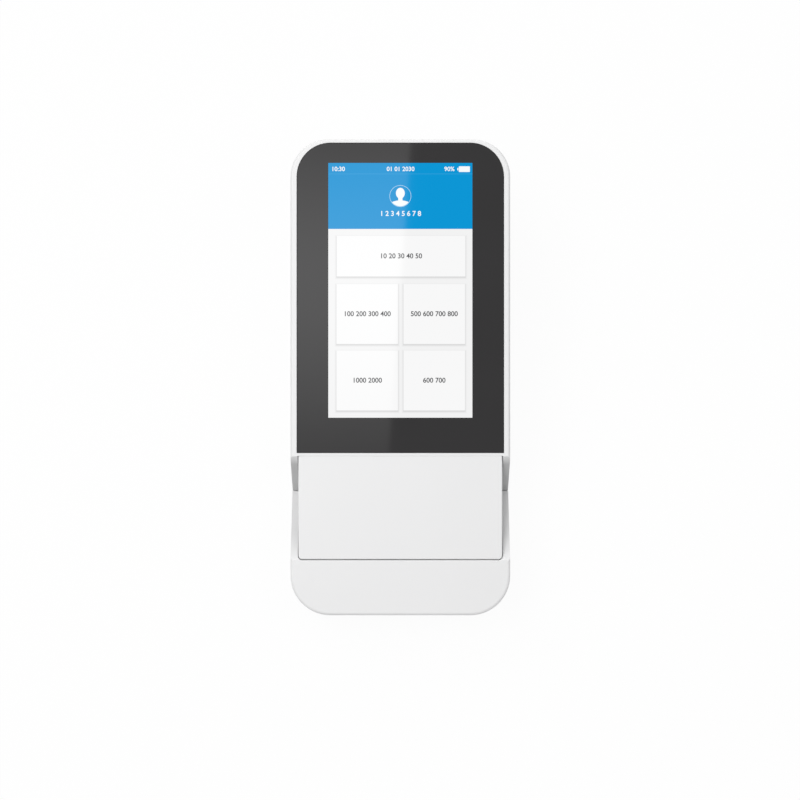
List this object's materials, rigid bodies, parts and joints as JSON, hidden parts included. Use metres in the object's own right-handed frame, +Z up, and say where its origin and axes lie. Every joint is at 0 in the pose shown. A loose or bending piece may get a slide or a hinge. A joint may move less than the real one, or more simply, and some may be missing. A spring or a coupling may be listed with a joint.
{
  "type": "point-of-care analyzer",
  "caption": "Wedge-shaped bench analyzer with a sloping touch screen, a flip-up door over a strip bay with finger scoops, and a heated strip reader inside.",
  "frame": {"origin": "on the bench, under the middle of the instrument's box", "axes": "+Z up, +Y towards the rear panel, the nose and the door towards -Y, +X to the user's right"},
  "size_m": [0.097, 0.209, 0.0728],
  "materials": {
    "white_shell": "fine satin, moulded",
    "grey_shell": "fine texture, moulded",
    "deck_plastic": "satin, moulded",
    "cover_glass": "polished, black printed behind",
    "tape": "foam tape",
    "display": "lit panel",
    "tray_metal": "stamped sheet",
    "circuit_board": "solder mask",
    "chip_black": "moulded",
    "steel": "bright",
    "socket_metal": "plated sheet",
    "magnet": "nickel plated",
    "heater_metal": "machined",
    "frame_plastic": "glass-filled",
    "motor_metal": "satin",
    "lens": "polished",
    "inlet_plastic": "moulded",
    "button_plastic": "moulded",
    "rubber": "matt",
    "battery_wrap": "shrink wrap"
  },
  "bodies": {
    "casing": {"upper_casing": "white_shell", "nose_cover": "white_shell", "lower_casing": "grey_shell", "strip_deck": "deck_plastic", "cover_glass": "cover_glass", "glass_tape": "tape", "display_module": "display", "display_tray": "tray_metal", "catch_plates": "tray_metal", "hinge_brackets": "tray_metal", "battery_strap": "tray_metal", "main_board": "circuit_board", "optics_board": "circuit_board", "antenna_board": "circuit_board", "io_board": "circuit_board", "board_chips": "chip_black", "power_switch": "chip_black", "speaker": "chip_black", "optics_housing": "chip_black", "board_screws": "steel", "casing_screws": "steel", "deck_screws": "steel", "frame_screws": "steel", "guide_rods": "steel", "clamp_springs": "steel", "usb_sockets": "socket_metal", "lower_heater": "heater_metal", "reader_frame": "frame_plastic", "strip_guide": "frame_plastic", "stepper_motor": "motor_metal", "clamp_solenoid": "motor_metal", "optics_lenses": "lens", "power_inlet": "inlet_plastic", "rubber_feet": "rubber", "battery_pack": "battery_wrap"},
    "door": {"door_panel": "white_shell", "door_magnets": "magnet", "hinge_pins": "steel"},
    "clamp": {"clamp_plate": "frame_plastic", "clamp_heater": "heater_metal", "clamp_posts": "steel"},
    "lead_screw": {"lead_screw": "steel"},
    "carriage": {"magnet_carriage": "frame_plastic", "carriage_magnets": "magnet"},
    "power_button": {"power_button": "button_plastic"}
  },
  "joints": [
    {"name": "door_hinge", "type": "hinge", "parent": "casing", "child": "door", "pos_m": [0, -0.0373, 0.0418], "axis": [-1, 0, 0], "range_deg": [0, 90]},
    {"name": "button_press", "type": "slide", "parent": "casing", "child": "power_button", "axis": [0, -1, 0], "range_m": [0, 0.001], "stiffness_N_per_m": 800, "springref_m": -0.0005},
    {"name": "clamp_slide", "type": "slide", "parent": "casing", "child": "clamp", "axis": [0, 0, -1], "range_m": [0, 0.0015], "stiffness_N_per_m": 800, "springref_m": -0.002, "deforming": ["clamp_springs"]},
    {"name": "screw_spin", "type": "hinge", "parent": "casing", "child": "lead_screw", "pos_m": [0, 0, 0.0124], "axis": [0, 1, 0], "range_deg": [0, 2700.5]},
    {"name": "carriage_slide", "type": "slide", "parent": "casing", "child": "carriage", "axis": [0, 1, 0], "range_m": [0, 0.03]}
  ],
  "couplings": [
    {"joint": "screw_spin", "follows": "carriage_slide", "rad_per_m": 1570.8}
  ]
}
